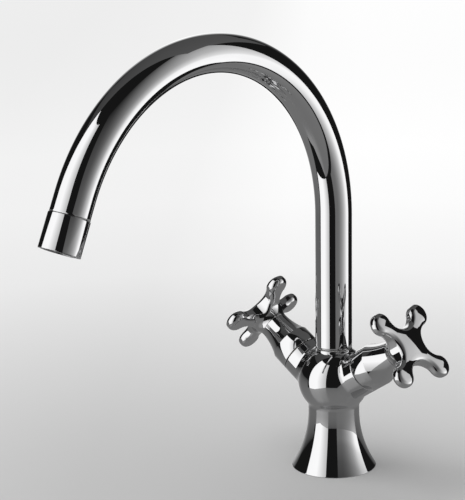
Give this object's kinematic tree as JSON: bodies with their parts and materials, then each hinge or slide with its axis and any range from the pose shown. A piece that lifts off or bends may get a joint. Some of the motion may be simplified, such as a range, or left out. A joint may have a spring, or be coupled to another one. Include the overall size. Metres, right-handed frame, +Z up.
{
  "type": "kitchen mixer tap",
  "caption": "Single-hole kitchen mixer with a high swivel spout, flared foot and cross handles on tilted arms.",
  "frame": {"origin": "centre of the foot on the deck", "axes": "+Z up, spout reaches towards -Y at rest, hot handle at -X, cold handle at +X"},
  "size_m": [0.1688, 0.2916, 0.3119],
  "materials": {
    "chrome": "bright mirror chrome plate",
    "brass": "turned brass",
    "steel": "plain stainless steel",
    "ceramic": "lapped white ceramic",
    "rubber": "matte black rubber",
    "plastic": "moulded dark plastic"
  },
  "bodies": {
    "base": {"mixer_body": "chrome", "base_gasket": "rubber", "spout_lock_screw": "steel", "hot_valve_bonnet": "brass", "hot_bonnet_seal": "rubber", "hot_seat_seal": "rubber", "hot_fixed_disc": "ceramic", "cold_valve_bonnet": "brass", "cold_bonnet_seal": "rubber", "cold_seat_seal": "rubber", "cold_fixed_disc": "ceramic"},
    "hot_handle": {"hot_moving_disc": "ceramic", "hot_valve_spindle": "brass", "hot_spindle_o_ring": "rubber", "hot_spindle_circlip": "steel", "hot_drive_adaptor": "brass", "hot_handle_skirt": "chrome", "hot_handle_screw": "steel", "hot_cross_handle": "chrome"},
    "cold_handle": {"cold_moving_disc": "ceramic", "cold_valve_spindle": "brass", "cold_spindle_o_ring": "rubber", "cold_spindle_circlip": "steel", "cold_drive_adaptor": "brass", "cold_handle_skirt": "chrome", "cold_handle_screw": "steel", "cold_cross_handle": "chrome"},
    "spout": {"spout_tube": "chrome", "spout_shank": "brass", "shank_o_ring_lower": "rubber", "shank_o_ring_upper": "rubber", "spout_glide_ring": "plastic", "outlet_sleeve": "chrome", "aerator_gasket": "rubber", "aerator_housing": "chrome", "aerator_grid": "plastic", "aerator_mesh": "steel"}
  },
  "joints": [
    {"name": "spout_swivel", "type": "hinge", "parent": "base", "child": "spout", "pos_m": [0, 0, 0.085], "axis": [0, 0, 1], "continuous": true},
    {"name": "hot_handle_turn", "type": "hinge", "parent": "base", "child": "hot_handle", "pos_m": [0, 0, 0.05455], "axis": [-0.8339, 0, 0.5519], "range_deg": [-90, 0]},
    {"name": "cold_handle_turn", "type": "hinge", "parent": "base", "child": "cold_handle", "pos_m": [0, 0, 0.05455], "axis": [0.8339, 0, 0.5519], "range_deg": [0, 90]}
  ]
}
